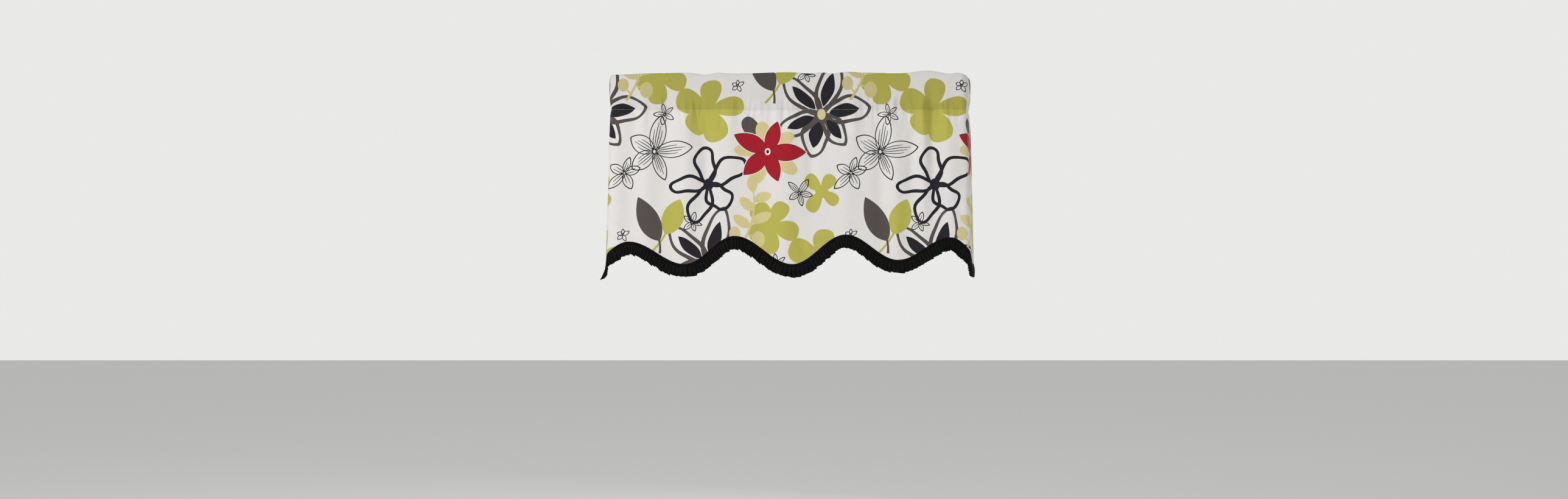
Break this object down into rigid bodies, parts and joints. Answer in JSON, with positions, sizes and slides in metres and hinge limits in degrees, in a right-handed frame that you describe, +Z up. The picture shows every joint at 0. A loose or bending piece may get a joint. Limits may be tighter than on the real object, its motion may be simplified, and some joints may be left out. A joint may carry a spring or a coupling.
{
  "type": "window valance",
  "caption": "Gathered rod-pocket window valance of printed cotton with wrapped returns, a scalloped lower edge and a black knife-pleated trim.",
  "frame": {"origin": "middle of the top edge, above the middle of the rod pocket", "axes": "+Z up, the front of the cloth faces -Y, the wall is on the +Y side, +X runs along the rod to the viewer's right"},
  "size_m": [0.8129, 0.0852, 0.4487],
  "materials": {
    "printed_cotton": "matt off-white cotton with a printed floral design",
    "black_band": "matt black cotton band",
    "black_pleats": "matt black cotton, pressed in knife pleats"
  },
  "bodies": {
    "root": {"valance_cloth": "printed_cotton", "trim_band": "black_band", "pleated_trim": "black_pleats"}
  },
  "joints": []
}
